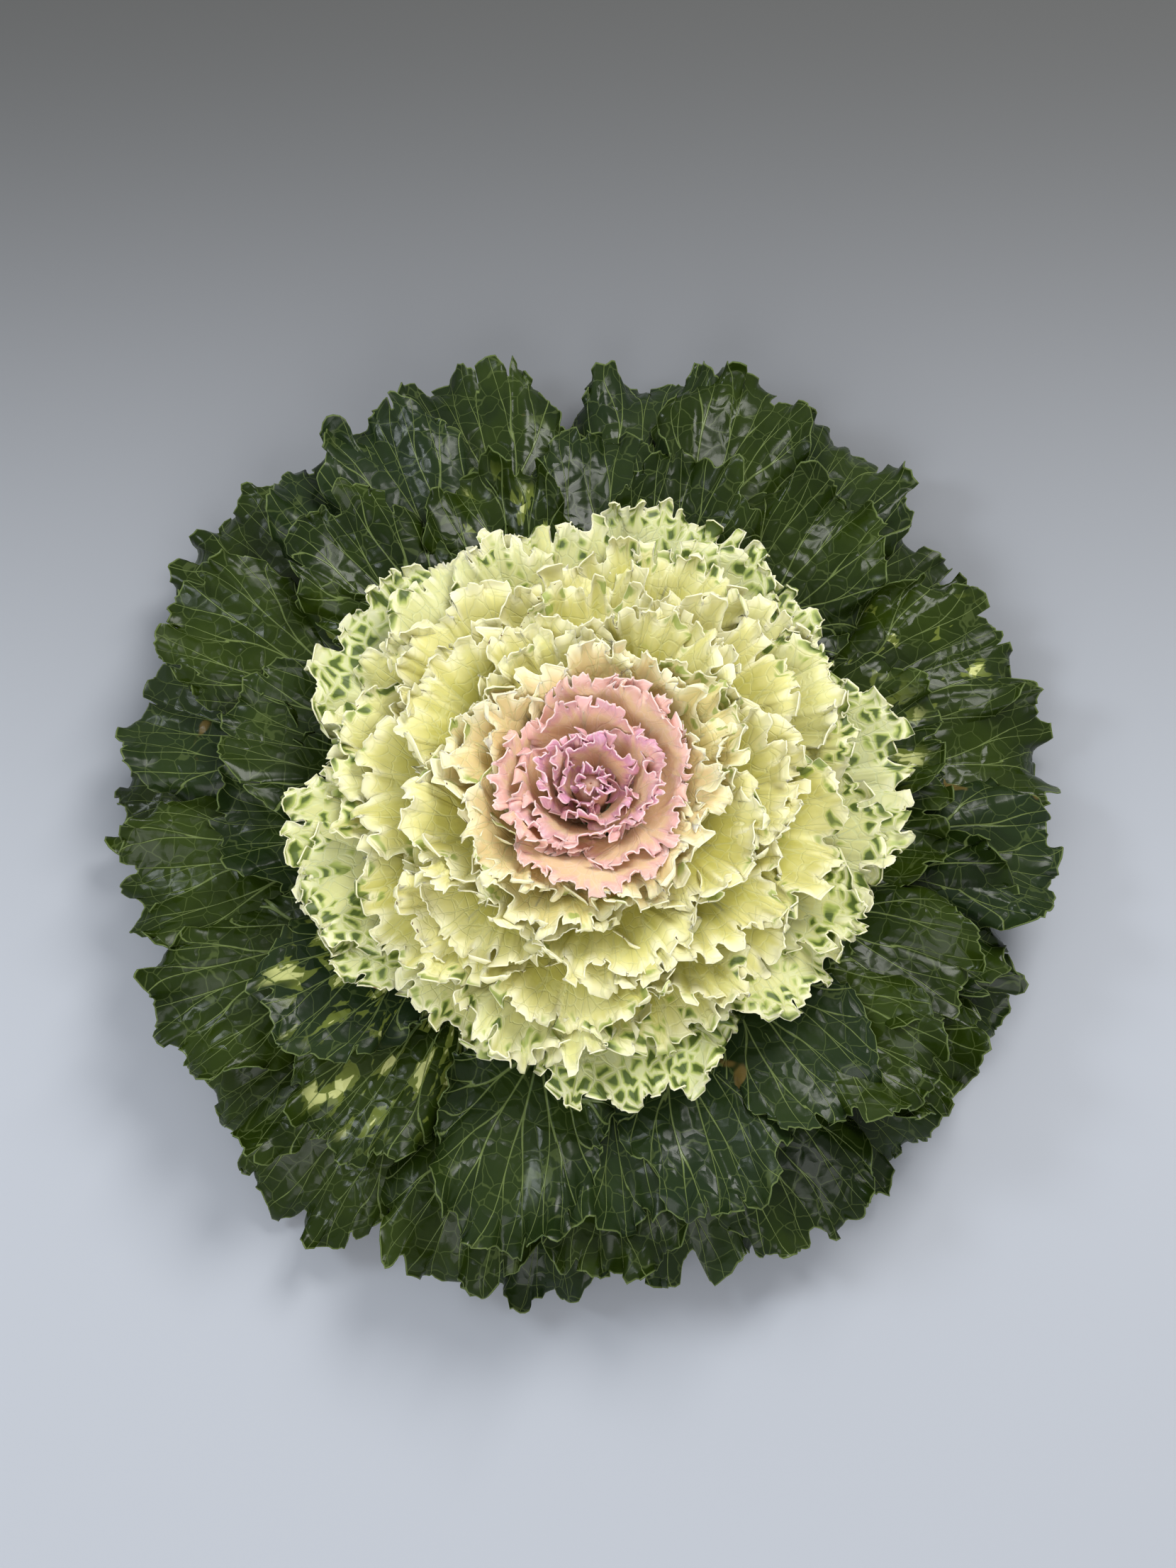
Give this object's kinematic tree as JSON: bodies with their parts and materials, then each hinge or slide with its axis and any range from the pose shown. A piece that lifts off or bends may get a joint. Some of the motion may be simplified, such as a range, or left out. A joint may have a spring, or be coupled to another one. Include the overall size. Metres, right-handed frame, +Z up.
{
  "type": "ornamental kale head",
  "caption": "Head of ornamental kale, cut low: broad dark green outer leaves, frilled cream inner leaves and a pink heart.",
  "frame": {"origin": "centre of the stem's cut face, on the surface the head rests on", "axes": "+Z up the stem through the pink heart, +X to the right and -Y to the front of the picture's view"},
  "size_m": [0.3748, 0.3891, 0.1244],
  "materials": {
    "green_leaf": "satin",
    "cream_leaf": "satin",
    "pink_leaf": "satin",
    "stem": "matte"
  },
  "bodies": {
    "root": {"green_leaves": "green_leaf", "cream_leaves": "cream_leaf", "pink_heart": "pink_leaf", "stem": "stem"}
  },
  "joints": []
}
